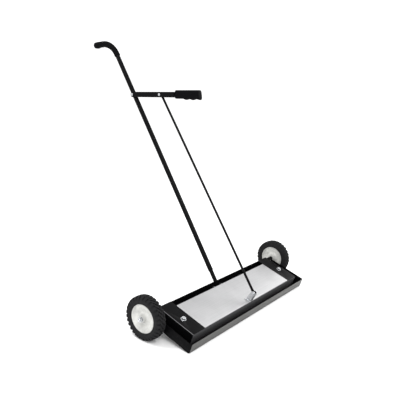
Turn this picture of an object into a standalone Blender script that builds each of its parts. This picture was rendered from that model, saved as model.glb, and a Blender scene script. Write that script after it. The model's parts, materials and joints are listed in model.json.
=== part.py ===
"""Magnetic nail sweeper: a wheeled tray with a magnet carriage that a hand lever lifts.

The tray is built level, with the axle line as its zero, and then tipped forward as it stands
when let go: on its two tyres and the front bottom edge of the pan. Metres, +Z up.
"""

import math

import bmesh
import bpy
from mathutils import Euler, Matrix, Vector

GAP = 0.0003
ROUND_SIDES = 12
STUB_SIDES = 16
SHARP_ANGLE = math.radians(35)

# Wheels
WHEEL_RADIUS = 0.100
TYRE_WIDTH = 0.053
HUB_RADIUS = 0.0646
HUB_FACE = 0.0262
BORE_RADIUS = 0.0088
WHEEL_X = 0.554
WHEEL_STEPS = 32

# Pan, in the tray's own frame: x to the right, y to the back, z up from the axle line
PAN_HALF = 0.512
PAN_FRONT = -0.232
PAN_BACK = 0.0118
PAN_FLOOR = -0.044
PAN_RIM = 0.0045
PAN_SHEET = 0.0016
PAN_ROUND = 0.005
NOTCH_RADIUS = 0.0125
STRIP_HALF = 0.507
STRIP_FOOT = -0.0395
STRIP_SHEET = 0.0013

# Housing that stands in the pan: two long rails and a cover at each end
BOX_HALF = 0.468
BOX_FRONT = -0.2005
BOX_BACK = 0.0095
BOX_TOP = 0.016
BOX_FOOT = -0.0405
BOX_SHEET = 0.0015
BACK_RAIL_HALF = 0.455
RAIL_FLANGE = 0.014
COVER_INNER = 0.3835

# Magnet carriage
PLATE_HALF = 0.381
PLATE_FRONT = -0.1975
PLATE_BACK = -0.0245
PLATE_SKIRT = 0.014
PLATE_SHEET = 0.0016
PLATE_ROUND = 0.0024
GUIDE_X = 0.4285
GUIDE_Y = -0.108
BAR_HALF = 0.447
BAR_REACH = 0.042
BAR_TOP = -0.017
BAR_FOOT = -0.021
HANGER_INNER = 0.250
HANGER_OUTER = 0.320
HANGER_REACH = 0.020
HANGER_SHEET = 0.002
MAGNET_Y = -0.110
MAGNET_COUNT = 4
MAGNET_PITCH = 0.186
MAGNET_LENGTH = 0.184
MAGNET_REACH = 0.035
MAGNET_FOOT = -0.0393
COVER_HALF = 0.375
COVER_REACH = 0.037
COVER_FOOT = -0.0408
COVER_SHEET = 0.0012

# Handle, lever and rod, all in the plane x = 0
HANDLE_ANGLE = math.radians(38.76)
HANDLE_POINT = (0.0793, 0.0319)
HANDLE_FOOT = -0.008
HANDLE_STRAIGHT = 1.292
BEND_RADIUS = 0.124
BEND_TURN = math.radians(62.4)
BEND_STEPS = 8
HANDLE_TIP = 0.063
TUBE_RADIUS = 0.0127
TUBE_WALL = 0.0014
STUB_RADIUS = 0.0107
STUB_WALL = 0.0020
STUB_TOP = 0.060
BRACKET_HALF = 0.045
BRACKET_SHEET = 0.003
BRACKET_FOOT = -0.0385
BRACKET_TOP = 0.0043
BRACKET_BOLT_X = 0.031
BRACKET_BOLT_Z = -0.027
GRIP_START = 1.270
GRIP_RADIUS = 0.0178
GRIP_END = 0.0042
PIVOT_ALONG = 1.0374
LEVER_ANGLE = math.radians(159.96)
LEVER_ARM = 0.199
LEVER_HEIGHT = 0.0285
LEVER_WIDTH = 0.031
LEVER_SHEET = 0.002
LEVER_END = 0.297
LEVER_WEB_START = 0.032
LEVER_STUB_RADIUS = 0.0115
LEVER_STUB_BORE = 0.0100
LEVER_STUB_Z = -0.001
LEVER_STUB_INSIDE = 0.032
LEVER_STUB_SHORT = 0.006
LEVER_GRIP_START = 0.3035
LEVER_GRIP_TOP_END = 0.457
LEVER_GRIP_FOOT_END = 0.466
LEVER_GRIP_WIDTH = 0.033
LEVER_GRIP_ROUND = 0.008
CLEVIS_PIN = (-0.194, 0.062)
CLEVIS_FRONT = -0.1970
CLEVIS_BACK = -0.1680
CLEVIS_HALF = 0.022
SCREW_X = 0.0167
CLEVIS_SHEET = 0.003
EAR_RADIUS = 0.012
EAR_FOOT = 0.026
EAR_INNER = 0.0075
EAR_OUTER = 0.0110
ROD_RADIUS = 0.0062
EYE_LOW = 0.0080
EYE_TOP = 0.0092
EYE_HALF = 0.0062

# Fasteners: shank radius, shank length, half of the head across its flats, head height
GUIDE_BOLT = (0.0060, 0.0560, 0.0095, 0.0070)
AXLE_BOLT = (0.0060, 0.1320, 0.0085, 0.0075)
BRACKET_BOLT = (0.0040, 0.0150, 0.0065, 0.0053)
HANDLE_SCREW = (0.0030, 0.0225, 0.0050, 0.0035)
PIVOT_BOLT = (0.0040, 0.0400, 0.0075, 0.0055)
ROD_BOLT = (0.0030, 0.0390, 0.0065, 0.0045)
CLEVIS_BOLT = (0.0040, 0.0270, 0.0065, 0.0045)
CLEVIS_SCREW = (0.0023, 0.0100, 0.0040, 0.0026)

# Washers and spacers: hole radius, outer radius, thickness
GUIDE_WASHER = (0.0068, 0.0130, 0.0020)
AXLE_WASHER = (0.0064, 0.0120, 0.0016)
AXLE_SPACER = (0.0064, 0.0105)
BUSH_BORE = 0.0063

# Clearance holes, and how far a drill reaches each way: through sheet, or right through
GUIDE_HOLE = 0.0068
AXLE_HOLE = 0.0066
BRACKET_HOLE = 0.0045
PIN_HOLE = 0.0043
ROD_BOLT_HOLE = 0.0034
ROD_EYE_HOLE = 0.0036
HANDLE_HOLE = 0.0033
SCREW_HOLE = 0.0026
SHEET_REACH = 0.006
THROUGH = 0.020

# Nuts: hole radius, half of the nut across its flats, height
GUIDE_NUT = (0.0063, 0.0095, 0.0080)
AXLE_NUT = (0.0063, 0.0095, 0.0095)
BRACKET_NUT = (0.0043, 0.0065, 0.0040)
PIVOT_NUT = (0.0043, 0.0065, 0.0065)
ROD_NUT = (0.0033, 0.0055, 0.0050)

# The tilt that brings the pan's rounded front edge down to the ground
EDGE_Y = PAN_FRONT + PAN_ROUND
EDGE_Z = PAN_FLOOR + PAN_ROUND
TILT = math.atan2(-EDGE_Y, -EDGE_Z) - math.acos(
    (WHEEL_RADIUS - PAN_ROUND) / math.hypot(EDGE_Y, EDGE_Z)
)
# The axle line's place, which puts the origin under the middle of the whole sweeper
AXLE_Y = -0.3999

SIDES = ((-1, "left"), (1, "right"))
TO_RIGHT = (0.0, 0.0, 0.0)
TO_LEFT = (0.0, 0.0, math.pi)
TO_BACK = (0.0, 0.0, math.pi / 2)
TO_FRONT = (0.0, 0.0, -math.pi / 2)
TO_TOP = (0.0, -math.pi / 2, 0.0)

# Colour, roughness and metallic value
COLOURS = {
    "black_paint": (0.010, 0.010, 0.011, 0.35, 0.0),
    "bare_steel": (0.62, 0.62, 0.60, 0.35, 1.0),
    "plate": (0.80, 0.80, 0.81, 0.40, 1.0),
    "zinc": (0.75, 0.76, 0.78, 0.28, 1.0),
    "hub": (0.80, 0.80, 0.76, 0.45, 0.0),
    "tyre": (0.030, 0.030, 0.030, 0.85, 0.0),
    "grip": (0.012, 0.012, 0.012, 0.70, 0.0),
    "bush": (0.10, 0.10, 0.10, 0.50, 0.0),
    "magnet": (0.09, 0.09, 0.10, 0.60, 0.0),
}

for thing in list(bpy.data.objects):
    bpy.data.objects.remove(thing, do_unlink=True)
parts = bpy.data.collections.new("nail_sweeper")
cutters = bpy.data.collections.new("cutters")
bpy.context.scene.collection.children.link(parts)
bpy.context.scene.collection.children.link(cutters)


def paint(name, key):
    """A Principled material of the sub-part's own."""
    red, green, blue, rough, metal = COLOURS[key]
    material = bpy.data.materials.new(name)
    material.use_nodes = True
    shader = material.node_tree.nodes["Principled BSDF"]
    shader.inputs["Base Color"].default_value = (red, green, blue, 1.0)
    shader.inputs["Roughness"].default_value = rough
    shader.inputs["Metallic"].default_value = metal
    material.diffuse_color = (red, green, blue, 1.0)
    return material


def empty(name, location, rotation=TO_RIGHT, parent=None):
    """A frame that pieces are parented to."""
    frame = bpy.data.objects.new(name, None)
    frame.location = location
    frame.rotation_euler = rotation
    frame.parent = parent
    parts.objects.link(frame)
    return frame


tray = empty("tray_frame", (0.0, AXLE_Y, WHEEL_RADIUS), (TILT, 0.0, 0.0))


def add(name, mesh, colour, parent=tray, where=(0.0, 0.0, 0.0), turn=TO_RIGHT):
    """One named sub-part in the object's collection."""
    thing = bpy.data.objects.new(name, mesh)
    thing.location = where
    thing.rotation_euler = turn
    thing.parent = parent
    parts.objects.link(thing)
    mesh.materials.append(paint(name, colour))
    return thing


def smooth(thing):
    """Round faces look round, and edges sharper than SHARP_ANGLE stay sharp."""
    thing.data.shade_smooth()
    thing.data.set_sharp_from_angle(angle=SHARP_ANGLE)
    return thing


def mesh_from(bm, name):
    mesh = bpy.data.meshes.new(name)
    bm.to_mesh(mesh)
    bm.free()
    return mesh


def box_mesh(name, low, high):
    """A box between two opposite corners."""
    low, high = Vector(low), Vector(high)
    stretch = Matrix.Diagonal((high - low).to_4d())
    stretch[3][3] = 1.0
    bm = bmesh.new()
    bmesh.ops.create_cube(bm, size=1.0, matrix=Matrix.Translation((low + high) / 2) @ stretch)
    return mesh_from(bm, name)


def bar_mesh(name, radius, low, high, axis="X", sides=ROUND_SIDES):
    """A bar along an axis from low to high; six sides make a hexagon with flats facing y."""
    turns = {
        "X": Matrix.Rotation(math.pi / 2, 4, "Y"),
        "Y": Matrix.Rotation(-math.pi / 2, 4, "X"),
        "Z": Matrix.Identity(4),
    }
    centre = Matrix.Translation((0.0, 0.0, (low + high) / 2))
    half_step = Matrix.Rotation(math.pi / sides, 4, "Z")
    bm = bmesh.new()
    bmesh.ops.create_cone(
        bm,
        cap_ends=True,
        segments=sides,
        radius1=radius,
        radius2=radius,
        depth=high - low,
        matrix=turns[axis] @ centre @ half_step,
    )
    return mesh_from(bm, name)


def combine(thing, mesh, operation, where=(0.0, 0.0, 0.0), turn=TO_RIGHT):
    """Join a helper to a sub-part, or cut it out; the helper shares the sub-part's frame."""
    helper = bpy.data.objects.new(mesh.name, mesh)
    helper.location = where
    helper.rotation_euler = turn
    helper.parent = thing.parent
    helper.hide_render = True
    helper.display_type = "WIRE"
    smooth(helper)
    cutters.objects.link(helper)
    step = thing.modifiers.new(mesh.name, "BOOLEAN")
    step.operation = operation
    step.solver = "EXACT"
    step.object = helper


def drill(thing, name, where, radius, axis="X", reach=SHEET_REACH):
    """A round hole along an axis, through reach each way."""
    combine(thing, bar_mesh(name, radius, -reach, reach, axis), "DIFFERENCE", where)


def hexagon(name, flats, height):
    """A hexagonal bar on local x = 0, measured across its flats."""
    return bar_mesh(name, flats / math.cos(math.pi / 6), 0.0, height, "X", 6)


def bolt(name, where, turn, size, parent=tray):
    """A bolt whose head stands on local x = 0, outside, with its shank running to -x."""
    shank, length, flats, height = size
    head = smooth(add(name, hexagon(name, flats, height), "zinc", parent, where, turn))
    stem = bar_mesh(name + "_shank", shank, -length, height / 2)
    combine(head, stem, "UNION", where, turn)


def nut(name, where, turn, size, parent=tray):
    """A nut from local x = 0 outwards."""
    hole, flats, height = size
    body = smooth(add(name, hexagon(name, flats, height), "zinc", parent, where, turn))
    bore = bar_mesh(name + "_bore", hole, -height, 2 * height)
    combine(body, bore, "DIFFERENCE", where, turn)


def turned(name, profile, colour, parent=tray, where=(0.0, 0.0, 0.0), turn=TO_RIGHT, steps=24):
    """A closed profile of (radius, height) points, swept once round local z."""
    mesh = bpy.data.meshes.new(name)
    count = len(profile)
    edges = [(i, (i + 1) % count) for i in range(count)]
    mesh.from_pydata([(radius, 0.0, height) for radius, height in profile], edges, [])
    thing = add(name, mesh, colour, parent, where, turn)
    lathe = thing.modifiers.new("turned", "SCREW")
    lathe.axis = "Z"
    lathe.angle = 2 * math.pi
    lathe.steps = steps
    lathe.render_steps = steps
    lathe.use_merge_vertices = True
    lathe.merge_threshold = 0.00005
    lathe.use_smooth_shade = True
    return thing


def ring_profile(inner, outer, low, high):
    """A washer, bush or spacer as a profile."""
    return [(outer, high), (outer, low), (inner, low), (inner, high)]


def mesh_of_curve(curve, placement):
    """A curve as one closed mesh, with its caps welded on."""
    guide = bpy.data.objects.new(curve.name, curve)
    guide.matrix_world = placement
    parts.objects.link(guide)
    depsgraph = bpy.context.evaluated_depsgraph_get()
    mesh = bpy.data.meshes.new_from_object(guide.evaluated_get(depsgraph))
    bpy.data.objects.remove(guide)
    mesh.transform(placement)
    bm = bmesh.new()
    bm.from_mesh(mesh)
    bmesh.ops.remove_doubles(bm, verts=bm.verts, dist=0.00001)
    bmesh.ops.recalc_face_normals(bm, faces=bm.faces)
    bm.to_mesh(mesh)
    bm.free()
    return mesh


def outline_mesh(name, outline, low, high):
    """A flat outline in the y-z plane, drawn out along x."""
    curve = bpy.data.curves.new(name, "CURVE")
    curve.dimensions = "2D"
    curve.fill_mode = "BOTH"
    curve.extrude = (high - low) / 2
    spline = curve.splines.new("POLY")
    spline.points.add(len(outline) - 1)
    for point, (y, z) in zip(spline.points, outline):
        point.co = (y, z, 0.0, 1.0)
    spline.use_cyclic_u = True
    upright = Euler((math.pi / 2, 0.0, math.pi / 2)).to_matrix().to_4x4()
    return mesh_of_curve(curve, Matrix.Translation(((low + high) / 2, 0.0, 0.0)) @ upright)


def swept_mesh(name, distances, radii):
    """A round bar along the handle's centre line, with a radius at each distance."""
    curve = bpy.data.curves.new(name, "CURVE")
    curve.dimensions = "3D"
    curve.bevel_depth = 1.0
    curve.bevel_resolution = 6
    curve.use_fill_caps = True
    spline = curve.splines.new("POLY")
    spline.points.add(len(distances) - 1)
    for point, distance, radius in zip(spline.points, distances, radii):
        point.co = (0.0, *along_handle(distance), 1.0)
        point.radius = radius
    return mesh_of_curve(curve, Matrix.Identity(4))


def along_handle(distance):
    """The handle's centre line in y and z: the straight, the bend over the top, the tip."""
    angle = HANDLE_ANGLE
    straight = min(distance, HANDLE_STRAIGHT)
    y = HANDLE_POINT[0] + math.cos(angle) * straight
    z = HANDLE_POINT[1] + math.sin(angle) * straight
    if distance > HANDLE_STRAIGHT:
        angle -= min((distance - HANDLE_STRAIGHT) / BEND_RADIUS, BEND_TURN)
        y += BEND_RADIUS * (math.sin(HANDLE_ANGLE) - math.sin(angle))
        z += BEND_RADIUS * (math.cos(angle) - math.cos(HANDLE_ANGLE))
        tip = max(distance - HANDLE_STRAIGHT - BEND_RADIUS * BEND_TURN, 0.0)
        y += tip * math.cos(angle)
        z += tip * math.sin(angle)
    return y, z


def folded_sheet(name, path, low, high, sheet, colour="black_paint", across=Vector((1, 0, 0))):
    """Sheet folded along a path in the y-z plane, or x-z plane, and thickened to one side."""
    bm = bmesh.new()
    verts = []
    for along, z in path:
        flat = (low, along, z) if across.x else (along, low, z)
        verts.append(bm.verts.new(flat))
    edges = [bm.edges.new(pair) for pair in zip(verts, verts[1:])]
    made = bmesh.ops.extrude_edge_only(bm, edges=edges)["geom"]
    far = [part for part in made if isinstance(part, bmesh.types.BMVert)]
    bmesh.ops.translate(bm, verts=far, vec=across * (high - low))
    thing = add(name, mesh_from(bm, name), colour)
    shell = thing.modifiers.new("sheet", "SOLIDIFY")
    shell.thickness = sheet
    shell.offset = 1.0
    shell.use_even_offset = True
    return thing


def open_box(name, low, high, open_side, colour, sheet, rounding):
    """A pressed sheet box without its top (+1) or bottom (-1), thickened inwards."""
    thing = add(name, box_mesh(name, low, high), colour)
    bm = bmesh.new()
    bm.from_mesh(thing.data)
    missing = [face for face in bm.faces if face.normal.z * open_side > 0.5]
    bmesh.ops.delete(bm, geom=missing, context="FACES")
    bm.to_mesh(thing.data)
    bm.free()
    folds = thing.modifiers.new("rounded folds", "BEVEL")
    folds.width = rounding
    folds.segments = 4
    folds.limit_method = "ANGLE"
    shell = thing.modifiers.new("sheet", "SOLIDIFY")
    shell.thickness = sheet
    shell.offset = -1.0
    shell.use_even_offset = True
    return thing


def spaced(start, end, count):
    return [start + (end - start) * i / (count - 1) for i in range(count)]


def arc(centre, radius, start, end, count):
    """Points along an arc, its angles counted from +y towards +z."""
    return [
        (centre[0] + radius * math.cos(angle), centre[1] + radius * math.sin(angle))
        for angle in spaced(start, end, count)
    ]


# The pan, with a notch in each end wall for the axle's spacer
pan = open_box(
    "pan_tray",
    (-PAN_HALF, PAN_FRONT, PAN_FLOOR),
    (PAN_HALF, PAN_BACK, PAN_RIM),
    1,
    "black_paint",
    PAN_SHEET,
    PAN_ROUND,
)
above_rim = PAN_RIM + NOTCH_RADIUS
notch = arc((0.0, 0.0), NOTCH_RADIUS, math.pi, 2 * math.pi, 9)
notch += [(NOTCH_RADIUS, above_rim), (-NOTCH_RADIUS, above_rim)]
combine(pan, outline_mesh("axle_notches", notch, -1.1 * PAN_HALF, 1.1 * PAN_HALF), "DIFFERENCE")

strip_back = PAN_FRONT - GAP
strip_low = (-STRIP_HALF, strip_back - STRIP_SHEET, STRIP_FOOT)
strip_high = (STRIP_HALF, strip_back, PAN_RIM)
add("front_strip", box_mesh("front_strip", strip_low, strip_high), "bare_steel")

# The housing's rails, each a wall with a flange turned in along its foot
rail_top = BOX_TOP - BOX_SHEET - GAP
rail_half = BOX_HALF - BOX_SHEET - GAP
front_path = [
    (BOX_FRONT, rail_top),
    (BOX_FRONT, BOX_FOOT),
    (BOX_FRONT + RAIL_FLANGE, BOX_FOOT),
]
folded_sheet("front_rail", front_path, -rail_half, rail_half, BOX_SHEET)
back_path = [
    (BOX_BACK - RAIL_FLANGE, BOX_FOOT),
    (BOX_BACK, BOX_FOOT),
    (BOX_BACK, rail_top),
]
back_rail = folded_sheet("back_rail", back_path, -BACK_RAIL_HALF, BACK_RAIL_HALF, BOX_SHEET)

for side, word in SIDES:
    # An end cover is a top and an end wall, drilled for the guide bolt and the axle
    cover_path = [
        (side * COVER_INNER, BOX_TOP),
        (side * BOX_HALF, BOX_TOP),
        (side * BOX_HALF, BOX_FOOT),
    ][::side]
    cover = folded_sheet(
        "end_cover_" + word,
        cover_path,
        BOX_FRONT,
        BOX_BACK,
        BOX_SHEET,
        across=Vector((0, 1, 0)),
    )
    guide = (side * GUIDE_X, GUIDE_Y)
    drill(cover, "guide_hole_" + word, (*guide, BOX_TOP), GUIDE_HOLE, "Z")
    drill(cover, "axle_hole_" + word, (side * BOX_HALF, 0.0, 0.0), AXLE_HOLE)

    # A guide bolt hangs from the cover and stops the carriage at the bottom
    washer_top = BOX_TOP + GAP + GUIDE_WASHER[2]
    washer = ring_profile(*GUIDE_WASHER[:2], BOX_TOP + GAP, washer_top)
    turned("guide_washer_" + word, washer, "zinc", where=(*guide, 0.0))
    bolt("guide_bolt_" + word, (*guide, washer_top + GAP), TO_TOP, GUIDE_BOLT)
    nut("guide_nut_" + word, (*guide, PAN_FLOOR + PAN_SHEET + GAP), TO_TOP, GUIDE_NUT)

    # The axle runs out from inside the housing, over the notch, through the wheel
    outward = TO_RIGHT if side > 0 else TO_LEFT
    inward = TO_LEFT if side > 0 else TO_RIGHT
    turned_outward = (0.0, side * math.pi / 2, 0.0)
    bolt("axle_bolt_" + word, (side * rail_half, 0.0, 0.0), inward, AXLE_BOLT)
    wheel_inner = WHEEL_X - HUB_FACE
    wheel_outer = WHEEL_X + TYRE_WIDTH / 2
    spacer = ring_profile(*AXLE_SPACER, BOX_HALF + GAP, wheel_inner - GAP)
    turned("axle_spacer_" + word, spacer, "black_paint", turn=turned_outward)
    washer_end = wheel_outer + GAP + AXLE_WASHER[2]
    washer = ring_profile(*AXLE_WASHER[:2], wheel_outer + GAP, washer_end)
    turned("axle_washer_" + word, washer, "zinc", turn=turned_outward)
    nut("axle_nut_" + word, (side * (washer_end + GAP), 0.0, 0.0), outward, AXLE_NUT)

# Wheels, each turning about the axle line; a profile runs down its outer side first
HALF_TYRE = [
    (0.1000, 0.0035),
    (0.1000, 0.0160),
    (0.0960, 0.0225),
    (0.0890, 0.0258),
    (0.0800, 0.0265),
    (0.0700, 0.0240),
    (0.0650, 0.0200),
]
HALF_HUB = [
    (HUB_RADIUS, 0.0215),
    (HUB_RADIUS - 0.0030, 0.0215),
    (HUB_RADIUS - 0.0050, 0.0140),
    (0.0400, 0.0095),
    (0.0200, 0.0130),
    (0.0165, HUB_FACE),
    (BORE_RADIUS, HUB_FACE),
]


def mirrored(half):
    """A whole profile, given its upper half from the outside in."""
    return half[::-1] + [(radius, -height) for radius, height in half]


TREAD_GROOVE = [(0.0970, 0.0025)]
for side, word in SIDES:
    axle = empty("axle_" + word, (side * WHEEL_X, AXLE_Y, WHEEL_RADIUS))
    upright = (0.0, math.pi / 2, 0.0)
    tyre = mirrored(TREAD_GROOVE + HALF_TYRE)
    turned("tyre_" + word, tyre, "tyre", axle, turn=upright, steps=WHEEL_STEPS)
    hub = mirrored(HALF_HUB)
    turned("hub_" + word, hub, "hub", axle, turn=upright, steps=WHEEL_STEPS)
    bush = ring_profile(BUSH_BORE, BORE_RADIUS - GAP, -HUB_FACE, HUB_FACE)
    turned("bush_" + word, bush, "bush", axle, turn=upright, steps=WHEEL_STEPS)

# Handle bracket: a plate bolted to the back wall, with a stub tube welded to it
plate_front = PAN_BACK + GAP
plate_back = plate_front + BRACKET_SHEET
stub_turn = (HANDLE_ANGLE, 0.0, 0.0)
stub_at = (0.0, *HANDLE_POINT)
stub_reach = 0.100
stub = bar_mesh("handle_bracket", STUB_RADIUS, -stub_reach, STUB_TOP, "Y", STUB_SIDES)
bracket = smooth(add("handle_bracket", stub, "black_paint", tray, stub_at, stub_turn))
bore_radius = STUB_RADIUS - STUB_WALL
bore = bar_mesh("stub_bore", bore_radius, -2 * stub_reach, 2 * STUB_TOP, "Y", STUB_SIDES)
combine(bracket, bore, "DIFFERENCE", stub_at, stub_turn)
trim_low = (-BRACKET_HALF, plate_front - stub_reach, -stub_reach)
trim_high = (BRACKET_HALF, (plate_front + plate_back) / 2, stub_reach)
combine(bracket, box_mesh("stub_trim", trim_low, trim_high), "DIFFERENCE")
plate_low = (-BRACKET_HALF, plate_front, BRACKET_FOOT)
plate_high = (BRACKET_HALF, plate_back, BRACKET_TOP)
combine(bracket, box_mesh("bracket_plate", plate_low, plate_high), "UNION")
for side, word in SIDES:
    x = side * BRACKET_BOLT_X
    for piece, label in ((bracket, "bracket"), (pan, "pan"), (back_rail, "rail")):
        where = (x, plate_front, BRACKET_BOLT_Z)
        drill(piece, label + "_hole_" + word, where, BRACKET_HOLE, "Y")
    head_at = (x, plate_back + GAP, BRACKET_BOLT_Z)
    bolt("bracket_bolt_" + word, head_at, TO_BACK, BRACKET_BOLT)
    nut_at = (x, BOX_BACK - BOX_SHEET - GAP, BRACKET_BOLT_Z)
    nut("bracket_nut_" + word, nut_at, TO_FRONT, BRACKET_NUT)

# Handle tube, pushed down over the stub and held by a cross screw
bend_end = HANDLE_STRAIGHT + BEND_RADIUS * BEND_TURN
tube_end = bend_end + HANDLE_TIP
bend = spaced(HANDLE_STRAIGHT, bend_end, BEND_STEPS + 1)
route = [HANDLE_FOOT] + bend + [tube_end]
tube = smooth(
    add(
        "handle_tube",
        swept_mesh("handle_tube", route, [TUBE_RADIUS] * len(route)),
        "black_paint",
    )
)
beyond = [HANDLE_FOOT - TUBE_RADIUS] + bend + [tube_end + TUBE_RADIUS]
inside = swept_mesh("tube_bore", beyond, [TUBE_RADIUS - TUBE_WALL] * len(beyond))
combine(tube, inside, "DIFFERENCE")
wall_x = TUBE_RADIUS - TUBE_WALL / 2
drill(tube, "screw_hole_tube", (wall_x, *HANDLE_POINT), HANDLE_HOLE)
drill(bracket, "screw_hole_stub", (0.0, *HANDLE_POINT), HANDLE_HOLE, reach=THROUGH)
bolt("handle_bolt", (TUBE_RADIUS + GAP, *HANDLE_POINT), TO_RIGHT, HANDLE_SCREW)

# Moulded grip over the bend, closed at its tip
grip_route = [GRIP_START, GRIP_START + 0.004] + bend + [tube_end, tube_end + GRIP_END]
radii = [0.92 * GRIP_RADIUS] + [GRIP_RADIUS] * (len(grip_route) - 2) + [0.75 * GRIP_RADIUS]
grip = smooth(add("handle_grip", swept_mesh("handle_grip", grip_route, radii), "grip"))
bore_route = [GRIP_START - TUBE_RADIUS] + bend + [tube_end + GAP]
bore_radius = TUBE_RADIUS + 0.0005
grip_bore = swept_mesh("grip_bore", bore_route, [bore_radius] * len(bore_route))
combine(grip, grip_bore, "DIFFERENCE")

# Lever: local x to the right, -y along the lever away from its pivot, z off its back
pivot_y, pivot_z = along_handle(PIVOT_ALONG)
lever = empty("lever_pivot", (0.0, pivot_y, pivot_z), (LEVER_ANGLE - math.pi, 0.0, 0.0), tray)
half_height = LEVER_HEIGHT / 2
side_outer = LEVER_WIDTH / 2
side_inner = side_outer - LEVER_SHEET
side_wall = arc((0.0, 0.0), half_height, -math.pi / 2, math.pi / 2, 9)
side_wall += [(-LEVER_END, half_height), (-LEVER_END, -half_height)]
channel = add(
    "lever_channel",
    outline_mesh("lever_channel", side_wall, -side_outer, -side_inner),
    "black_paint",
    lever,
)
combine(channel, outline_mesh("lever_side", side_wall, side_inner, side_outer), "UNION")
web_low = (-side_inner - 0.001, 0.0005 - LEVER_END, half_height - 0.0018)
web_high = (side_inner + 0.001, -LEVER_WEB_START, half_height - 0.0002)
combine(channel, box_mesh("lever_web", web_low, web_high), "UNION")
drill(channel, "lever_pivot_hole", (0.0, 0.0, 0.0), PIN_HOLE, reach=THROUGH)
drill(channel, "lever_rod_hole", (0.0, -LEVER_ARM, 0.0), ROD_BOLT_HOLE, reach=THROUGH)

bolt_x = side_outer + GAP
drill(tube, "tube_pivot_hole", (0.0, pivot_y, pivot_z), PIN_HOLE, reach=THROUGH)
bolt("pivot_bolt", (-bolt_x, pivot_y, pivot_z), TO_LEFT, PIVOT_BOLT)
nut("pivot_nut", (bolt_x, pivot_y, pivot_z), TO_RIGHT, PIVOT_NUT)
bolt("rod_bolt", (-bolt_x, -LEVER_ARM, 0.0), TO_LEFT, ROD_BOLT, lever)
nut("rod_nut", (bolt_x, -LEVER_ARM, 0.0), TO_RIGHT, ROD_NUT, lever)

# A stub tube in the channel's end carries the lever's grip
stub_low = LEVER_END - LEVER_STUB_INSIDE
stub_high = LEVER_GRIP_TOP_END - LEVER_STUB_SHORT
turned(
    "lever_stub",
    ring_profile(LEVER_STUB_BORE, LEVER_STUB_RADIUS, stub_low, stub_high),
    "black_paint",
    lever,
    (0.0, 0.0, LEVER_STUB_Z),
    (math.pi / 2, 0.0, 0.0),
    STUB_SIDES,
)
grip_side = [
    (-LEVER_GRIP_START, -0.0203),
    (-LEVER_GRIP_START, 0.0225),
    (-LEVER_GRIP_TOP_END, 0.0228),
    (-LEVER_GRIP_FOOT_END, -0.0252),
]
half_width = LEVER_GRIP_WIDTH / 2
lever_grip = add(
    "lever_grip",
    outline_mesh("lever_grip", grip_side, -half_width, half_width),
    "grip",
    lever,
)
rounding = lever_grip.modifiers.new("rounding", "BEVEL")
rounding.width = LEVER_GRIP_ROUND
rounding.segments = 3
rounding.limit_method = "ANGLE"
core_radius = LEVER_STUB_RADIUS + GAP
core_end = -stub_high - GAP
core = bar_mesh("lever_grip_bore", core_radius, core_end, -stub_low, "Y", STUB_SIDES)
combine(lever_grip, core, "DIFFERENCE", (0.0, 0.0, LEVER_STUB_Z))

# Pull rod from the clevis pin to the lever, with an eye at each end
pin_y, pin_z = CLEVIS_PIN
rise = pivot_z + LEVER_ARM * math.sin(LEVER_ANGLE) - pin_z
reach = pivot_y + LEVER_ARM * math.cos(LEVER_ANGLE) - pin_y
rod_length = math.hypot(reach, rise)
rod_frame = empty("rod_pivot", (0.0, pin_y, pin_z), (math.atan2(rise, reach), 0.0, 0.0), tray)
shaft = bar_mesh("pull_rod", ROD_RADIUS, 0.005, rod_length - 0.005, "Y")
rod = smooth(add("pull_rod", shaft, "black_paint", rod_frame))
EYES = (("low", 0.0, EYE_LOW, PIN_HOLE), ("top", rod_length, EYE_TOP, ROD_EYE_HOLE))
for word, distance, radius, hole in EYES:
    eye = bar_mesh("rod_eye_" + word, radius, -EYE_HALF, EYE_HALF, sides=16)
    combine(rod, eye, "UNION", (0.0, distance, 0.0))
    drill(rod, "rod_hole_" + word, (0.0, distance, 0.0), hole, reach=THROUGH)

# Magnet carriage: the plate, the bar below it, two hangers between, the magnets and their cover
plate = open_box(
    "top_plate",
    (-PLATE_HALF, PLATE_FRONT, BOX_TOP - PLATE_SKIRT),
    (PLATE_HALF, PLATE_BACK, BOX_TOP),
    -1,
    "plate",
    PLATE_SHEET,
    PLATE_ROUND,
)
bar_low = (-BAR_HALF, MAGNET_Y - BAR_REACH, BAR_FOOT)
bar_high = (BAR_HALF, MAGNET_Y + BAR_REACH, BAR_TOP)
bar = add("backing_bar", box_mesh("backing_bar", bar_low, bar_high), "black_paint")
hanger_foot = BAR_TOP + GAP
hanger_top = BOX_TOP - PLATE_SHEET - GAP
hanger_path = [
    (MAGNET_Y + HANGER_REACH, hanger_top),
    (MAGNET_Y - HANGER_REACH, hanger_top),
    (MAGNET_Y - HANGER_REACH, hanger_foot),
    (MAGNET_Y + HANGER_REACH, hanger_foot),
]
for side, word in SIDES:
    drill(bar, "bar_hole_" + word, (side * GUIDE_X, GUIDE_Y, BAR_TOP), GUIDE_HOLE, "Z")
    low, high = sorted((side * HANGER_INNER, side * HANGER_OUTER))
    folded_sheet("hanger_" + word, hanger_path, low, high, HANGER_SHEET)
for number in range(MAGNET_COUNT):
    middle = MAGNET_PITCH * (number - (MAGNET_COUNT - 1) / 2)
    magnet_low = (middle - MAGNET_LENGTH / 2, MAGNET_Y - MAGNET_REACH, MAGNET_FOOT)
    magnet_high = (middle + MAGNET_LENGTH / 2, MAGNET_Y + MAGNET_REACH, BAR_FOOT - GAP)
    name = "magnet_%d" % (number + 1)
    add(name, box_mesh(name, magnet_low, magnet_high), "magnet")
cover_path = [
    (MAGNET_Y - COVER_REACH, BAR_FOOT - 2 * GAP),
    (MAGNET_Y - COVER_REACH, COVER_FOOT),
    (MAGNET_Y + COVER_REACH, COVER_FOOT),
    (MAGNET_Y + COVER_REACH, BAR_FOOT - 2 * GAP),
]
folded_sheet("magnet_cover", cover_path, -COVER_HALF, COVER_HALF, COVER_SHEET, "bare_steel")

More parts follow.
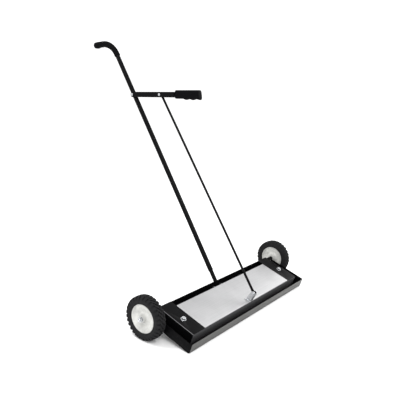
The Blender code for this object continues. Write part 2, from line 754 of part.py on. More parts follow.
# Clevis on the plate's front edge: a base with two ears that carry the pin
seat = BOX_TOP + GAP
base_low = (-CLEVIS_HALF, CLEVIS_FRONT, seat)
base_high = (CLEVIS_HALF, CLEVIS_BACK, seat + CLEVIS_SHEET)
clevis = add("clevis_bracket", box_mesh("clevis_bracket", base_low, base_high), "zinc")
ear = [(CLEVIS_FRONT, seat + 0.001), (CLEVIS_FRONT + EAR_FOOT, seat + 0.001)]
ear += arc((pin_y, pin_z), EAR_RADIUS, 0.0, math.pi, 9)
for side, word in SIDES:
    low, high = sorted((side * EAR_INNER, side * EAR_OUTER))
    combine(clevis, outline_mesh("clevis_ear_" + word, ear, low, high), "UNION")
drill(clevis, "clevis_hole", (0.0, pin_y, pin_z), PIN_HOLE, reach=THROUGH)
bolt("clevis_pin", (-EAR_OUTER - GAP, pin_y, pin_z), TO_LEFT, CLEVIS_BOLT)
for side, word in SIDES:
    where = (side * SCREW_X, (CLEVIS_FRONT + CLEVIS_BACK) / 2, seat + CLEVIS_SHEET + GAP)
    drill(clevis, "screw_hole_" + word, where, SCREW_HOLE, "Z")
    drill(plate, "plate_hole_" + word, where, SCREW_HOLE, "Z")
    bolt("clevis_screw_" + word, where, TO_TOP, CLEVIS_SCREW)
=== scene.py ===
import json
import math

import bmesh
import bpy
import numpy as np
from mathutils import Matrix, Vector


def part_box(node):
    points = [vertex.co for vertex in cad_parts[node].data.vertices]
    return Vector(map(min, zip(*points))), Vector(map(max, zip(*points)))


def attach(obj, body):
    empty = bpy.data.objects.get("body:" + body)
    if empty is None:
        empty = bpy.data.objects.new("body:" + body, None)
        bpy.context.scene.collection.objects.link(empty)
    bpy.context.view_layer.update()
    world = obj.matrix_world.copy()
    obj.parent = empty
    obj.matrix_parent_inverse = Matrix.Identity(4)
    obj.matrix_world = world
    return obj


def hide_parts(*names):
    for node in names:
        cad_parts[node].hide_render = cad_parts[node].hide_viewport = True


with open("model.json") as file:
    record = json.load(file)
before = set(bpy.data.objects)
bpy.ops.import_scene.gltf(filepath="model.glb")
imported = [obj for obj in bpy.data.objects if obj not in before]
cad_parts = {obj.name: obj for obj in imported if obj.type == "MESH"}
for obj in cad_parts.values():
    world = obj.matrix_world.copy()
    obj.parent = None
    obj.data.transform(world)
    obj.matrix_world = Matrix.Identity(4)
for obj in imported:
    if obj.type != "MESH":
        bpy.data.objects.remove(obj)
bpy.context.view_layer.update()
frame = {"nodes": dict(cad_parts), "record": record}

behaviour = frame["record"]["behaviour"]
joints = {joint["name"]: joint for joint in behaviour["joints"]}
body_of = {node: body for body, nodes in behaviour["bodies"].items() for node in nodes}

# The sweeper stands tipped forward. Its tray pieces are made level, with the axle line as
# zero, and carried into place by the tilt that the carriage's slide axis gives.
axle = Vector(joints["wheel_right_spin"]["pos_m"])
lift = Vector(joints["carriage_lift"]["axis"])
TILT = math.atan2(-lift.y, lift.z)
tray = Matrix.Translation((0.0, axle.y, axle.z)) @ Matrix.Rotation(TILT, 4, "X")
to_tray = tray.inverted()
RIGHT, BACK, UP = (tray.to_3x3() @ Vector(way) for way in ((1, 0, 0), (0, 1, 0), (0, 0, 1)))
SIDES = {"left": -1.0, "right": 1.0}


def tray_box(node):
    """A CAD node's lowest and highest corners in the tray's level frame."""
    points = np.array([to_tray @ vert.co for vert in frame["nodes"][node].data.vertices])
    return Vector(points.min(0)), Vector(points.max(0))


def tray_middle(node):
    """The middle of a CAD node's box in the tray's level frame."""
    low, high = tray_box(node)
    return (low + high) / 2


# ---------------------------------------------------------------- materials
def new_material(name):
    material = bpy.data.materials.new(name)
    material.use_nodes = True
    tree = material.node_tree
    return material, tree, tree.nodes["Principled BSDF"]


def noise(tree, scale, detail=4.0, rough=0.5, stretch=(1.0, 1.0, 1.0)):
    """Noise over the object's own coordinates."""
    place = tree.nodes.new("ShaderNodeTexCoord")
    move = tree.nodes.new("ShaderNodeMapping")
    move.inputs["Scale"].default_value = stretch
    made = tree.nodes.new("ShaderNodeTexNoise")
    made.inputs["Scale"].default_value = scale
    made.inputs["Detail"].default_value = detail
    made.inputs["Roughness"].default_value = rough
    tree.links.new(place.outputs["Object"], move.inputs["Vector"])
    tree.links.new(move.outputs["Vector"], made.inputs["Vector"])
    return made.outputs["Fac"]


def spread(tree, value, low, high, start=0.3, end=0.7):
    """A value between start and end, carried to between low and high."""
    ramp = tree.nodes.new("ShaderNodeMapRange")
    ramp.inputs["From Min"].default_value = start
    ramp.inputs["From Max"].default_value = end
    ramp.inputs["To Min"].default_value = low
    ramp.inputs["To Max"].default_value = high
    tree.links.new(value, ramp.inputs["Value"])
    return ramp.outputs["Result"]


def two_colours(tree, value, first, second):
    """A mix from the first colour, at value 0, to the second, at value 1."""
    mix = tree.nodes.new("ShaderNodeMix")
    mix.data_type = "RGBA"
    colour_inputs = [socket for socket in mix.inputs if socket.type == "RGBA"]
    colour_inputs[0].default_value = (*first, 1.0)
    colour_inputs[1].default_value = (*second, 1.0)
    tree.links.new(value, mix.inputs[0])
    return [socket for socket in mix.outputs if socket.type == "RGBA"][0]


def bump(tree, shader, value, strength, distance):
    node = tree.nodes.new("ShaderNodeBump")
    node.inputs["Strength"].default_value = strength
    node.inputs["Distance"].default_value = distance
    tree.links.new(value, node.inputs["Height"])
    tree.links.new(node.outputs["Normal"], shader.inputs["Normal"])


def coated_steel(name, colour, worn, rough, specular):
    """Powder-coated steel: faint orange peel, uneven gloss and dusty scuffs."""
    material, tree, shader = new_material(name)
    scuff = spread(tree, noise(tree, 38.0, 8.0, 0.65), 0.0, 1.0, 0.58, 0.80)
    tree.links.new(two_colours(tree, scuff, colour, worn), shader.inputs["Base Color"])
    gloss = spread(tree, noise(tree, 14.0, 5.0, 0.6), rough * 0.8, rough * 1.3)
    tree.links.new(gloss, shader.inputs["Roughness"])
    shader.inputs["Specular IOR Level"].default_value = specular
    bump(tree, shader, noise(tree, 900.0, 2.0), 0.10, 0.0004)
    return material


def brushed_metal(name, light, dark, rough, grain):
    """Bare sheet with fine lines along x and a cloudy mottle."""
    material, tree, shader = new_material(name)
    cloud = spread(tree, noise(tree, 9.0, 6.0, 0.62), 0.0, 1.0, 0.32, 0.68)
    tree.links.new(two_colours(tree, cloud, light, dark), shader.inputs["Base Color"])
    shader.inputs["Metallic"].default_value = 1.0
    lines = noise(tree, 60.0, 3.0, 0.5, (0.05, 6.0, 6.0))
    tree.links.new(spread(tree, lines, rough * 0.75, rough * 1.3), shader.inputs["Roughness"])
    bump(tree, shader, lines, grain, 0.0003)
    return material


def zinc_plating(name):
    material, tree, shader = new_material(name)
    spangle = spread(tree, noise(tree, 240.0, 3.0), 0.0, 1.0)
    mixed = two_colours(tree, spangle, (0.64, 0.65, 0.66), (0.45, 0.46, 0.48))
    tree.links.new(mixed, shader.inputs["Base Color"])
    shader.inputs["Metallic"].default_value = 1.0
    tree.links.new(spread(tree, noise(tree, 300.0), 0.14, 0.30), shader.inputs["Roughness"])
    bump(tree, shader, noise(tree, 800.0, 2.0), 0.08, 0.0003)
    return material


def moulded(name, colour, dusty, rough, specular, grain, pebble=0.25):
    """Rubber or vinyl with a fine pebble and a little dust."""
    material, tree, shader = new_material(name)
    blend = spread(tree, noise(tree, 30.0, 7.0, 0.7), 0.0, 1.0, 0.55, 0.78)
    tree.links.new(two_colours(tree, blend, colour, dusty), shader.inputs["Base Color"])
    gloss = spread(tree, noise(tree, 60.0, 4.0), rough * 0.85, rough * 1.1)
    tree.links.new(gloss, shader.inputs["Roughness"])
    shader.inputs["Specular IOR Level"].default_value = specular
    bump(tree, shader, noise(tree, grain, 3.0, 0.6), pebble, 0.0006)
    return material


def enamel(name):
    """Off-white enamel, a little yellowed, with a dusty mottle and painted shade darkening round
    the boss.
    """
    material, tree, shader = new_material(name)
    place = tree.nodes.new("ShaderNodeTexCoord")
    across = tree.nodes.new("ShaderNodeVectorMath")
    across.operation = "MULTIPLY"
    across.inputs[1].default_value = (0.0, 1.0, 1.0)
    radius = tree.nodes.new("ShaderNodeVectorMath")
    radius.operation = "LENGTH"
    tree.links.new(place.outputs["Object"], across.inputs[0])
    tree.links.new(across.outputs["Vector"], radius.inputs[0])
    # Painted shade: the enamel darkens towards the boss, standing in for the shade the raised boss
    # casts on the dish
    boss_shade = spread(tree, radius.outputs["Value"], 0.75, 0.0, 0.017, 0.031)
    cloud = spread(tree, noise(tree, 26.0, 9.0, 0.72), 0.0, 0.8, 0.38, 0.66)
    # The blend takes the stronger of the painted shade round the boss and the dust mottle
    blend = tree.nodes.new("ShaderNodeMath")
    blend.operation = "MAXIMUM"
    tree.links.new(boss_shade, blend.inputs[0])
    tree.links.new(cloud, blend.inputs[1])
    mixed = two_colours(tree, blend.outputs["Value"], CREAM, CREAM_DUST_AND_SHADE)
    tree.links.new(mixed, shader.inputs["Base Color"])
    tree.links.new(spread(tree, noise(tree, 20.0), 0.30, 0.48), shader.inputs["Roughness"])
    bump(tree, shader, noise(tree, 500.0, 2.0), 0.08, 0.0004)
    return material


BLACK, BLACK_DUST = (0.0026, 0.0026, 0.0030), (0.0065, 0.0065, 0.0067)
VINYL, VINYL_DUST = (0.0026, 0.0026, 0.0031), (0.0052, 0.0052, 0.0056)
RUBBER, RUBBER_DUST = (0.0083, 0.0083, 0.0089), (0.0226, 0.0217, 0.0209)
NYLON, NYLON_DUST = (0.0522, 0.0522, 0.0539), (0.0783, 0.0783, 0.0765)
FERRITE, FERRITE_DUST = (0.0522, 0.0522, 0.0565), (0.0870, 0.0870, 0.0913)
CREAM, CREAM_DUST_AND_SHADE = (0.565, 0.565, 0.540), (0.310, 0.310, 0.297)
STEEL, STEEL_DARK = (0.130, 0.130, 0.127), (0.113, 0.113, 0.109)
PLATE, PLATE_DARK = (0.487, 0.487, 0.492), (0.439, 0.439, 0.445)
FRONT_LIT, FRONT_LIT_DUST = (0.0652, 0.0652, 0.0678), (0.104, 0.104, 0.106)
FOLD_HIGHLIGHT, FOLD_HIGHLIGHT_DUST = (0.139, 0.139, 0.143), (0.209, 0.209, 0.213)
looks = {
    "black_paint": coated_steel("black_paint", BLACK, BLACK_DUST, 0.33, 0.048),
    "bare_steel": brushed_metal("bare_steel", STEEL, STEEL_DARK, 0.50, 0.18),
    "plate": brushed_metal("plate", PLATE, PLATE_DARK, 0.48, 0.16),
    "zinc": zinc_plating("zinc"),
    "hub": enamel("hub"),
    "tyre": moulded("tyre", RUBBER, RUBBER_DUST, 0.80, 0.17, 420.0),
    "grip": moulded("grip", VINYL, VINYL_DUST, 0.55, 0.026, 900.0),
    "bush": moulded("bush", NYLON, NYLON_DUST, 0.50, 0.30, 700.0),
    "magnet": moulded("magnet", FERRITE, FERRITE_DUST, 0.62, 0.30, 500.0),
}
# The housing's front wall takes a lighter grey copy of the black paint, with dusty scuffs: painted
# light for the light it catches from the front
front_lit_paint = coated_steel("front_lit_paint", FRONT_LIT, FRONT_LIT_DUST, 0.50, 0.17)
slot_of = {part["node"]: part["material_slot"] for part in frame["record"]["subparts"]}
for node_name, node in frame["nodes"].items():
    node.data.materials.clear()
    node.data.materials.append(looks[slot_of[node_name]])


# ---------------------------------------------------------------- mesh helpers
def block(bm, low, high):
    """A box between two corners."""
    made = bmesh.ops.create_cube(bm, size=1.0)
    for vert in made["verts"]:
        for axis in range(3):
            middle = (low[axis] + high[axis]) / 2
            vert.co[axis] = middle + vert.co[axis] * (high[axis] - low[axis])


def loft(bm, rings, closed=False):
    """A surface through rings of points, joined end to end or capped at both ends."""
    rows = [[bm.verts.new(point) for point in ring] for ring in rings]
    pairs = list(zip(rows, rows[1:]))
    if closed:
        pairs.append((rows[-1], rows[0]))
    else:
        bm.faces.new(rows[0])
        bm.faces.new(rows[-1])
    count = len(rows[0])
    for first, second in pairs:
        for i in range(count):
            j = (i + 1) % count
            bm.faces.new((first[i], first[j], second[j], second[i]))


def prism(bm, outline, low, high):
    """An outline in the y-z plane, drawn out along x."""
    loft(bm, [[(x, y, z) for y, z in outline] for x in (low, high)])


def about_x(radius, along, angle):
    """A point at this radius and angle round the x axis."""
    return (along, radius * math.cos(angle), radius * math.sin(angle))


def lathe(bm, profile, steps):
    """A closed profile of (radius, along) turned round the x axis."""
    turns = [2 * math.pi * i / steps for i in range(steps)]
    loft(bm, [[about_x(radius, along, turn) for turn in turns] for radius, along in profile], True)


def rounded(points, radius, segments=5):
    """A closed 2D outline whose corners are rounded, as far as their sides allow."""
    out = []
    count = len(points)
    for i in range(count):
        corner = Vector(points[i])
        before = Vector(points[i - 1]) - corner
        after = Vector(points[(i + 1) % count]) - corner
        cut = min(radius, before.length * 0.48, after.length * 0.48)
        start = corner + before.normalized() * cut
        end = corner + after.normalized() * cut
        for step in range(segments + 1):
            t = step / segments
            out.append(tuple(start * (1 - t) ** 2 + corner * 2 * t * (1 - t) + end * t * t))
    return out


def to_mesh(bm, name, sharp=35.0):
    """A smooth-shaded mesh whose edges sharper than this angle stay crisp."""
    bmesh.ops.remove_doubles(bm, verts=bm.verts, dist=1e-6)
    bmesh.ops.recalc_face_normals(bm, faces=bm.faces[:])
    mesh = bpy.data.meshes.new(name)
    bm.to_mesh(mesh)
    bm.free()
    mesh.shade_smooth()
    mesh.set_sharp_from_angle(angle=math.radians(sharp))
    return mesh


def worked(mesh, steps, sharp=35.0):
    """The mesh after a row of modifiers, each (kind, settings)."""
    thing = bpy.data.objects.new(mesh.name, mesh)
    bpy.context.scene.collection.objects.link(thing)
    helpers = []
    for kind, settings in steps:
        step = thing.modifiers.new(kind, kind)
        for key, value in settings.items():
            if key == "cutter":
                helper = bpy.data.objects.new("cutter", value)
                bpy.context.scene.collection.objects.link(helper)
                helpers.append(helper)
                step.object = helper
                step.solver = "EXACT"
            else:
                setattr(step, key, value)
    evaluated = thing.evaluated_get(bpy.context.evaluated_depsgraph_get())
    shaped = bpy.data.meshes.new_from_object(evaluated)
    for used in [thing] + helpers:
        bpy.data.objects.remove(used)
    shaped.shade_smooth()
    shaped.set_sharp_from_angle(angle=math.radians(sharp))
    return shaped


def edges(width, segments=2, angle=40.0):
    """A Bevel step that rounds a sheet's edges."""
    return (
        "BEVEL",
        {
            "width": width,
            "segments": segments,
            "limit_method": "ANGLE",
            "angle_limit": math.radians(angle),
        },
    )


def combined(operation, bm, name):
    """A Boolean step with another closed shape."""
    return ("BOOLEAN", {"operation": operation, "cutter": to_mesh(bm, name)})


def holes(places, radius, reach, axis):
    """A Boolean step that drills round holes along x, y or z, through reach each way."""
    bm = bmesh.new()
    for place in places:
        rings = []
        for along in (-reach, reach):
            ring = [about_x(radius, along, 2 * math.pi * i / 32) for i in range(32)]
            turned = {"X": (0, 1, 2), "Y": (2, 0, 1), "Z": (1, 2, 0)}[axis]
            rings.append([Vector(place) + Vector([point[k] for k in turned]) for point in ring])
        loft(bm, rings)
    return combined("DIFFERENCE", bm, "holes")


# Radii of the holes that bolts, pins and screws go through
GUIDE_HOLE = 0.0068
AXLE_HOLE = 0.0066
BRACKET_HOLE = 0.0045
HANDLE_HOLE = 0.0033
PIN_HOLE = 0.0043
SCREW_HOLE = 0.0026
LEVER_PIVOT_HOLE = 0.0044
LEVER_ROD_HOLE = 0.0034
ROD_EYE_HOLE = 0.0036


def piece(name, mesh, nodes, where=tray):
    """A finished piece, put in place, painted like the CAD nodes it replaces, and tied on."""
    slot = slot_of[nodes[0]]
    mesh.name = name
    thing = bpy.data.objects.new(name, mesh)
    bpy.context.scene.collection.objects.link(thing)
    thing.matrix_world = where
    mesh.materials.clear()
    mesh.materials.append(looks[slot])
    bpy.context.view_layer.update()
    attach(thing, body_of[nodes[0]])
    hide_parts(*nodes)
    return thing


# ---------------------------------------------------------------- wheels
TREAD_COUNT = 30
TREAD_STEP = 2 * math.pi / TREAD_COUNT
TREAD_DEPTH = 0.0060
CROWN = 0.0016
CENTRE_ROW = 0.0042
SIDE_ROW = (0.0054, 0.0126)
LUG_REACH = 0.0175
tyre_low, tyre_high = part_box("tyre_right")
tyre_half = (tyre_high.x - tyre_low.x) / 2
tyre_radius = (tyre_high.z - tyre_low.z) / 2
hub_low, hub_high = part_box("hub_right")
hub_radius = (hub_high.z - hub_low.z) / 2
hub_half = (hub_high.x - hub_low.x) / 2


def tread_block(bm, angle, low, high, top, width, skew):
    """One block of tread: wider at its foot, its long sides leaning by skew."""
    rings = []
    for radius, grow in ((tyre_radius - TREAD_DEPTH - 0.001, 1.15), (top, 1.0)):
        ring = []
        for along, turn in ((low, -0.5), (high, -0.5), (high, 0.5), (low, 0.5)):
            middle = (low + high) / 2
            x = middle + (along - middle) * grow
            crown = radius - CROWN * (x / tyre_half) ** 2
            ring.append(about_x(crown, x, angle + turn * width * grow + skew * (along - middle)))
        rings.append(ring)
    loft(bm, rings)


def shoulder_lug(bm, angle, side, width):
    """A lug that wraps from the tread over the shoulder and down the sidewall."""
    band = [
        (0.0138, 0.0006),
        (0.0198, 0.0022),
        (0.0240, 0.0060),
        (0.0258, 0.0110),
        (0.0264, LUG_REACH),
        (0.0240, LUG_REACH),
        (0.0218, 0.0105),
        (0.0185, 0.0075),
        (0.0138, 0.0062),
    ]
    rings = []
    for turn in (-0.5, -0.2, 0.2, 0.5):
        ring = []
        for along, down in band:
            taper = 1.0 - 0.25 * min(down / LUG_REACH, 1.0)
            ring.append(about_x(tyre_radius - down, side * along, angle + turn * width * taper))
        rings.append(ring)
    loft(bm, rings)


def tyre_mesh():
    """A carcass with moulded rim bands, three staggered rows of blocks and shoulder lugs."""
    bm = bmesh.new()
    r = tyre_radius
    flank = [
        (hub_radius + 0.0004, 0.0200),
        (hub_radius + 0.0020, 0.0226),
        (hub_radius + 0.0045, 0.0236),
        (hub_radius + 0.0062, 0.0228),
        (hub_radius + 0.0090, 0.0238),
        (r - 0.0215, 0.0250),
        (r - 0.0180, 0.0252),
        (r - 0.0130, 0.0240),
        (r - 0.0085, 0.0208),
        (r - 0.0055, 0.0160),
        (r - TREAD_DEPTH, 0.0090),
    ]
    lathe(bm, flank + [(radius, -along) for radius, along in reversed(flank)], 120)
    for i in range(TREAD_COUNT):
        angle = i * TREAD_STEP
        tread_block(bm, angle, -CENTRE_ROW, CENTRE_ROW, r, TREAD_STEP * 0.60, 12.0)
        for side in (-1, 1):
            low, high = sorted(side * edge for edge in SIDE_ROW)
            half_step = angle + TREAD_STEP / 2
            tread_block(bm, half_step, low, high, r - 0.0002, TREAD_STEP * 0.64, -14.0 * side)
            shoulder_lug(bm, angle, side, TREAD_STEP * 0.62)
    return to_mesh(bm, "tyre", 32)


def hub_mesh():
    """Pressed discs round a boss: rolled rim, shallow dish, raised ring and centre tube."""
    bm = bmesh.new()
    r = hub_radius
    half = hub_half
    disc = [
        (r, 0.0160),
        (r - 0.0002, 0.0196),
        (r - 0.0012, 0.0212),
        (r - 0.0026, 0.0214),
        (r - 0.0038, 0.0204),
        (r - 0.0048, 0.0170),
        (r - 0.0066, 0.0148),
        (r - 0.0100, 0.0140),
        (0.0480, 0.0132),
        (0.0430, 0.0116),
        (0.0370, 0.0098),
        (0.0320, 0.0094),
        (0.0290, 0.0104),
        (0.0262, 0.0132),
        (0.0238, 0.0146),
        (0.0200, 0.0148),
        (0.0178, 0.0156),
        (0.0166, 0.0178),
        (0.0162, half - 0.0016),
        (0.0154, half - 0.0004),
        (0.0142, half),
        (0.0098, half),
        (0.0089, half - 0.0008),
    ]
    lathe(bm, disc + [(radius, -along) for radius, along in reversed(disc)], 96)
    return to_mesh(bm, "hub", 50)


tyre_shape = tyre_mesh()
hub_shape = hub_mesh()
for word in SIDES:
    spot = Matrix.Translation(joints["wheel_%s_spin" % word]["pos_m"])
    piece("tread_tyre_" + word, tyre_shape.copy(), ["tyre_" + word], spot)
    piece("dished_hub_" + word, hub_shape.copy(), ["hub_" + word], spot)

# ---------------------------------------------------------------- tray
PAN_SHEET = 0.0016
PAN_FOLD = 0.0050
SHEET_RIM = 0.0004
NOTCH = 0.0125
HOUSING_SHEET = 0.0015
COVER_FOLD = 0.0022
STRIP_CORNER = 0.006


def open_box(low, high, missing_side, sheet, fold, rim, cuts):
    """A pressed box without its top (+1) or bottom (-1): folds, sheet thickness, eased rim."""
    bm = bmesh.new()
    block(bm, low, high)
    bmesh.ops.recalc_face_normals(bm, faces=bm.faces[:])
    gone = [face for face in bm.faces if face.normal.z * missing_side > 0.5]
    bmesh.ops.delete(bm, geom=gone, context="FACES")
    sheet_step = {"thickness": sheet, "offset": -1.0, "use_even_offset": True}
    return worked(
        to_mesh(bm, "box"),
        [edges(fold, 6), ("SOLIDIFY", sheet_step), edges(rim, 2, 70), *cuts],
    )


# The axle bolts leave the pan through a half-round notch in each end wall
notch = bmesh.new()
half_round = [
    (NOTCH * math.cos(math.pi * (1 + i / 12)), NOTCH * math.sin(math.pi * (1 + i / 12)))
    for i in range(13)
]
prism(notch, half_round + [(NOTCH, 0.02), (-NOTCH, 0.02)], -0.6, 0.6)
notch_step = combined("DIFFERENCE", notch, "notch")
pan_low, pan_high = tray_box("pan_tray")
bracket_bolts = [tray_middle("bracket_bolt_" + word) for word in SIDES]
bracket_holes = holes([tuple(spot) for spot in bracket_bolts], BRACKET_HOLE, 0.03, "Y")
pan_cuts = [notch_step, bracket_holes]
pan = open_box(pan_low, pan_high, 1, PAN_SHEET, PAN_FOLD, SHEET_RIM, pan_cuts)
piece("pan_pressing", pan, ["pan_tray"])


def sheet_strip(node, corner):
    """A flat strip with rounded corners and eased edges, facing along y."""
    low, high = tray_box(node)
    outline = rounded([(low.x, low.z), (high.x, low.z), (high.x, high.z), (low.x, high.z)], corner)
    bm = bmesh.new()
    loft(bm, [[(x, y, z) for x, z in outline] for y in (low.y, high.y)])
    return worked(to_mesh(bm, node), [edges((high.y - low.y) * 0.3, 2, 60)])


piece("lip_strip", sheet_strip("front_strip", STRIP_CORNER), ["front_strip"])


def rail_mesh(node, facing, cuts=()):
    """A folded angle: a tall wall and a short foot turned in towards the magnets."""
    low, high = tray_box(node)
    wall, foot, tall = HOUSING_SHEET, high.y - low.y, high.z - low.z
    front = low.y if facing < 0 else high.y
    inner = [(0.0, 0.0), (foot, 0.0), (foot, wall), (wall, wall), (wall, tall), (0.0, tall)]
    outline = [(front - facing * y, low.z + z) for y, z in inner]
    bm = bmesh.new()
    prism(bm, outline, low.x, high.x)
    return worked(to_mesh(bm, node), [*cuts, edges(0.0006, 3)])


front_rail = piece("folded_front_rail", rail_mesh("front_rail", -1), ["front_rail"])
# Painted light: the front rail wears the lighter, front-lit copy of the black paint
front_rail.data.materials[0] = front_lit_paint
piece("folded_back_rail", rail_mesh("back_rail", 1, [bracket_holes]), ["back_rail"])


def cover_mesh(node, side):
    """An end cover: a top and an end wall folded from one sheet."""
    low, high = tray_box(node)
    sheet, fold = HOUSING_SHEET, COVER_FOLD
    outer = high.x if side > 0 else -low.x
    inner = low.x if side > 0 else -high.x
    outline = [(inner, high.z), (outer - fold, high.z)]
    outline += [
        (outer - fold * (1 - math.sin(t)), high.z - fold * (1 - math.cos(t)))
        for t in [math.pi / 2 * i / 6 for i in range(1, 6)]
    ]
    outline += [
        (outer, high.z - fold),
        (outer, low.z),
        (outer - sheet, low.z),
        (outer - sheet, high.z - fold),
        (outer - fold, high.z - sheet),
        (inner, high.z - sheet),
    ]
    bm = bmesh.new()
    loft(bm, [[(side * x, y, z) for x, z in outline] for y in (low.y, high.y)])
    guide = tray_middle(node.replace("end_cover", "guide_bolt"))
    axle_bolt = tray_middle(node.replace("end_cover", "axle_bolt"))
    drilled = [
        holes([(guide.x, guide.y, high.z)], GUIDE_HOLE, 0.008, "Z"),
        holes([(side * outer, axle_bolt.y, axle_bolt.z)], AXLE_HOLE, 0.008, "X"),
    ]
    return worked(to_mesh(bm, node), [*drilled, edges(0.0005, 2, 60)], 25)


# The covers' folds take a lighter paint: a painted highlight along each outer fold
fold_highlight = coated_steel("fold_highlight", FOLD_HIGHLIGHT, FOLD_HIGHLIGHT_DUST, 0.45, 0.26)
for word, side in SIDES.items():
    name = "end_cover_" + word
    cover = piece("folded_cover_" + word, cover_mesh(name, side), [name])
    cover.data.materials.append(fold_highlight)
    # Faces on the outer fold get the painted highlight paint
    for face in cover.data.polygons:
        if face.normal.z > 0.3 and 0.3 < face.normal.x * side:
            face.material_index = 1


# ---------------------------------------------------------------- fasteners
ROUND = 48
COS_30 = math.cos(math.pi / 6)
THREAD_DEPTH = 0.0006
THREAD_LEAD = 0.0008


def measure(node, axis):
    """Where a turned CAD node stands: its axis point, and its levels and radii along axis."""
    points = np.array([vert.co for vert in frame["nodes"][node].data.vertices])
    turn = axis.to_track_quat("X", "Z").to_matrix()
    local = points @ np.array(turn)
    middle = (local.min(0) + local.max(0)) / 2
    reach = np.hypot(local[:, 1] - middle[1], local[:, 2] - middle[2])
    levels = sorted(set(np.round(local[:, 0], 5)))
    at_tip = reach[np.abs(local[:, 0] - levels[0]) < 2e-5]
    return turn, Vector((0.0, middle[1], middle[2])), levels, reach, at_tip


def turned_ring(radius, along, flats=0.0, depth=0.0, pitch=1.0):
    """A ring round x, cut to a hexagon by flats, or grooved by a thread of this depth."""
    ring = []
    for i in range(ROUND):
        angle = 2 * math.pi * i / ROUND
        reach = radius
        if flats:
            corner = (angle + math.pi / 6) % (math.pi / 3) - math.pi / 6
            reach = min(radius, flats / math.cos(corner))
        if depth:
            reach -= depth * abs(2 * ((along / pitch - i / ROUND) % 1.0) - 1)
        ring.append(about_x(reach, along, angle))
    return ring


def hex_bolt(node, axis, thread=0.010, pitch=0.00125):
    """A hexagon bolt with a chamfered head, a washer face and a cut thread at its tip."""
    turn, centre, levels, reach, at_tip = measure(node, axis)
    tip, seat, top = levels[0], levels[1], levels[-1]
    corner, shank = reach.max(), at_tip.max()
    flats = corner * COS_30
    cut = flats * 0.20
    length, head = seat - tip, top - seat
    rings = [turned_ring(shank - 0.0009, -length), turned_ring(shank - 0.0004, -length + 0.0005)]
    steps = int((thread - THREAD_LEAD) / pitch * 4)
    rings += [
        turned_ring(shank, -length + THREAD_LEAD + pitch * i / 4, 0.0, THREAD_DEPTH, pitch)
        for i in range(steps)
    ]
    rings += [
        turned_ring(shank, -length + thread),
        turned_ring(shank, 0.0),
        turned_ring(flats * 0.96, 0.0),
        turned_ring(flats * 0.97, 0.0003),
        turned_ring(corner, 0.0004, flats),
        turned_ring(corner, head - cut, flats),
        turned_ring((corner + flats) / 2, head - cut * 0.42, flats),
        turned_ring(flats * 0.97, head - 0.0001, flats),
        turned_ring(flats * 0.90, head),
        turned_ring(flats * 0.60, head - 0.0003),
    ]
    bm = bmesh.new()
    loft(bm, rings)
    where = turn.to_4x4()
    where.translation = turn @ (centre + Vector((seat, 0.0, 0.0)))
    piece("cut_" + node, to_mesh(bm, node, 28), [node], where)


def hex_nut(node, axis):
    """A hexagon nut, chamfered at both faces, with an eased bore."""
    turn, centre, levels, reach, _ = measure(node, axis)
    corner, bore = reach.max(), reach.min()
    flats = corner * COS_30
    high = levels[-1] - levels[0]
    cut = flats * 0.18
    ease = 0.0005
    rings = [
        turned_ring(flats * 0.94, 0.0),
        turned_ring(flats * 0.98, cut * 0.15, flats),
        turned_ring((corner + flats) / 2, cut * 0.6, flats),
        turned_ring(corner, cut, flats),
        turned_ring(corner, high - cut, flats),
        turned_ring((corner + flats) / 2, high - cut * 0.6, flats),
        turned_ring(flats * 0.98, high - cut * 0.15, flats),
        turned_ring(flats * 0.94, high),
        turned_ring(bore + ease, high),
        turned_ring(bore, high - ease),
        turned_ring(bore, ease),
        turned_ring(bore + ease, 0.0),
    ]
    bm = bmesh.new()
    loft(bm, rings, True)
    where = turn.to_4x4()
    where.translation = turn @ (centre + Vector((levels[0], 0.0, 0.0)))
    piece("cut_" + node, to_mesh(bm, node, 28), [node], where)


def round_collar(node, axis, ease):
    """A washer or spacer with eased edges."""
    turn, centre, levels, reach, _ = measure(node, axis)
    outer, bore = reach.max(), reach.min()
    long = levels[-1] - levels[0]
    profile = [
        (outer - ease, 0.0),
        (outer, ease),
        (outer, long - ease),
        (outer - ease, long),
        (bore, long),
        (bore, 0.0),
    ]
    bm = bmesh.new()
    lathe(bm, profile, ROUND)
    where = turn.to_4x4()
    where.translation = turn @ (centre + Vector((levels[0], 0.0, 0.0)))
    piece("cut_" + node, to_mesh(bm, node), [node], where)


for word, side in SIDES.items():
    outwards = RIGHT * side
    hex_bolt("guide_bolt_" + word, UP, 0.022, 0.00175)
    hex_nut("guide_nut_" + word, UP)
    round_collar("guide_washer_" + word, UP, 0.0005)
    hex_bolt("axle_bolt_" + word, -outwards, 0.020, 0.00175)
    hex_nut("axle_nut_" + word, outwards)
    round_collar("axle_washer_" + word, outwards, 0.0004)
    round_collar("axle_spacer_" + word, outwards, 0.0010)
    hex_bolt("bracket_bolt_" + word, BACK, 0.010)
    hex_nut("bracket_nut_" + word, BACK)
    hex_bolt("clevis_screw_" + word, UP, 0.006, 0.0008)
hex_bolt("handle_bolt", RIGHT, 0.009)
for word in ("pivot_bolt", "rod_bolt", "clevis_pin"):
    hex_bolt(word, -RIGHT, 0.009)
for word in ("pivot_nut", "rod_nut"):
    hex_nut(word, RIGHT)

# ---------------------------------------------------------------- handle
HANDLE_FOOT = -0.008
HANDLE_STRAIGHT = 1.292
BEND_RADIUS = 0.124
BEND_TURN = math.radians(62.4)
HANDLE_TIP = 0.063
TUBE_RADIUS = 0.0127
TUBE_WALL = 0.0014
# The tube stops this far short of the CAD's end, inside the grip's rounded cap
TUBE_SHORT = 0.005


def middle_of(node):
    """The middle of a CAD node's box as it stands."""
    low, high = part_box(node)
    return (low + high) / 2


pivot = Vector(joints["lever_pivot"]["pos_m"])
handle_start = middle_of("handle_bolt")
handle_start.x = 0.0
handle_way = (pivot - handle_start).normalized()
HANDLE_ANGLE = math.atan2(handle_way.z, handle_way.y)
pivot_along = (pivot - handle_start).length
bend_end = HANDLE_STRAIGHT + BEND_RADIUS * BEND_TURN


